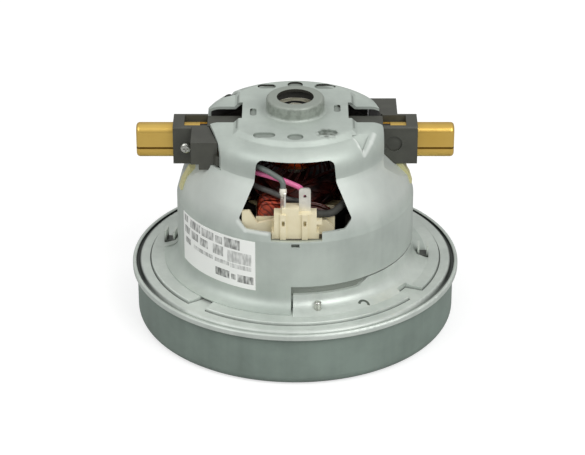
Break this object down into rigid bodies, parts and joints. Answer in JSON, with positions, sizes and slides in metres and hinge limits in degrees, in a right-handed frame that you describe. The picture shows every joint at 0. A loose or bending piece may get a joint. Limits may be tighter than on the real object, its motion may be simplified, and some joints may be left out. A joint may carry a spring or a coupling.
{
  "type": "vacuum motor unit",
  "caption": "Series motor with a single-stage fan for a vacuum cleaner: pressed housing, brush gear, terminals, and a round fan drum with an inlet eye.",
  "frame": {"origin": "centre of the drum's flat underside", "axes": "+Z along the motor axis, towards the upper bearing; the front with the terminals faces -Y; the brush holders lie along X"},
  "size_m": [0.141, 0.141, 0.1002],
  "materials": {
    "dark_zinc_sheet": "dull galvanised sheet",
    "bright_zinc_sheet": "bright zinc-plated sheet",
    "light_zinc_sheet": "satin zinc-plated sheet",
    "impeller_sheet": "rolled sheet",
    "bright_steel": "bright plated",
    "ground_steel": "ground",
    "spring_steel": "drawn wire",
    "core_steel": "stacked sheets with a coat of varnish",
    "slot_paper": "pressed board",
    "black_rubber": "moulded rubber",
    "seal_fibre": "dull",
    "enamel_wire": "enamelled copper wire",
    "copper": "turned copper",
    "dark_moulding": "moulded",
    "black_moulding": "moulded thermoset",
    "cream_moulding": "moulded glass-filled polyester",
    "tinned_brass": "tinned",
    "brass": "drawn, bare",
    "carbon": "pressed carbon",
    "pale_strip": "pale insulating strip",
    "label_film": "silver film",
    "grey_lead": "insulated lead",
    "pink_lead": "insulated lead",
    "dark_lead": "insulated lead",
    "dark_sleeve": "woven sleeve"
  },
  "bodies": {
    "frame": {"bearing_cushion": "black_rubber", "bobbin_front": "cream_moulding", "bobbin_rear": "cream_moulding", "brush_holder_left": "black_moulding", "brush_holder_right": "black_moulding", "brush_spring_left": "spring_steel", "brush_spring_right": "spring_steel", "brush_tube_left": "brass", "brush_tube_right": "brass", "coil_front_core": "enamel_wire", "coil_front_wire": "enamel_wire", "coil_rear_core": "enamel_wire", "coil_rear_wire": "enamel_wire", "diffuser": "dark_moulding", "fan_cover": "dark_zinc_sheet", "flange_clips": "bright_steel", "flange_screws": "bright_steel", "holder_screws": "bright_steel", "holder_strips": "pale_strip", "inlet_seal": "seal_fibre", "lead_dark": "dark_lead", "lead_grey": "grey_lead", "lead_pink": "pink_lead", "lead_sleeved": "dark_sleeve", "lower_bearing_outer_ring": "ground_steel", "lower_bearing_shields": "bright_steel", "lower_bracket": "bright_zinc_sheet", "motor_frame": "light_zinc_sheet", "rating_label": "label_film", "stator_core": "core_steel", "terminal_block": "cream_moulding", "terminal_left": "tinned_brass", "terminal_right": "tinned_brass", "upper_bearing_outer_ring": "ground_steel", "upper_bearing_shields": "bright_steel"},
    "rotor": {"shaft": "ground_steel", "shaft_spacer": "bright_steel", "impeller_front_disc": "impeller_sheet", "impeller_back_disc": "impeller_sheet", "impeller_vanes": "impeller_sheet", "clamp_washer_lower": "bright_steel", "clamp_washer_upper": "bright_steel", "impeller_nut": "bright_steel", "lower_bearing_inner_ring": "ground_steel", "upper_bearing_inner_ring": "ground_steel", "armature_core": "core_steel", "armature_insulators": "slot_paper", "armature_winding": "enamel_wire", "armature_end_wires": "enamel_wire", "armature_lead_wires": "enamel_wire", "commutator_hub": "dark_moulding", "commutator_bars": "copper"},
    "lower_cage": {"lower_bearing_balls": "ground_steel"},
    "upper_cage": {"upper_bearing_balls": "ground_steel"},
    "left_brush": {"carbon_brush_left": "carbon"},
    "right_brush": {"carbon_brush_right": "carbon"}
  },
  "joints": [
    {"name": "rotor_spin", "type": "hinge", "parent": "frame", "child": "rotor", "pos_m": [0, 0, 0.05], "axis": [0, 0, 1], "continuous": true},
    {"name": "lower_cage_roll", "type": "hinge", "parent": "frame", "child": "lower_cage", "pos_m": [0, 0, 0.0199], "axis": [0, 0, 1], "continuous": true},
    {"name": "upper_cage_roll", "type": "hinge", "parent": "frame", "child": "upper_cage", "pos_m": [0, 0, 0.0921], "axis": [0, 0, 1], "continuous": true},
    {"name": "left_brush_slide", "type": "slide", "parent": "frame", "child": "left_brush", "axis": [-1, 0, 0], "range_m": [0, 0.004], "stiffness_N_per_m": 110, "deforming": ["brush_spring_left"]},
    {"name": "right_brush_slide", "type": "slide", "parent": "frame", "child": "right_brush", "axis": [1, 0, 0], "range_m": [0, 0.004], "stiffness_N_per_m": 110, "deforming": ["brush_spring_right"]}
  ],
  "couplings": [
    {"joint": "lower_cage_roll", "follows": "rotor_spin", "ratio": 0.37},
    {"joint": "upper_cage_roll", "follows": "rotor_spin", "ratio": 0.37}
  ]
}
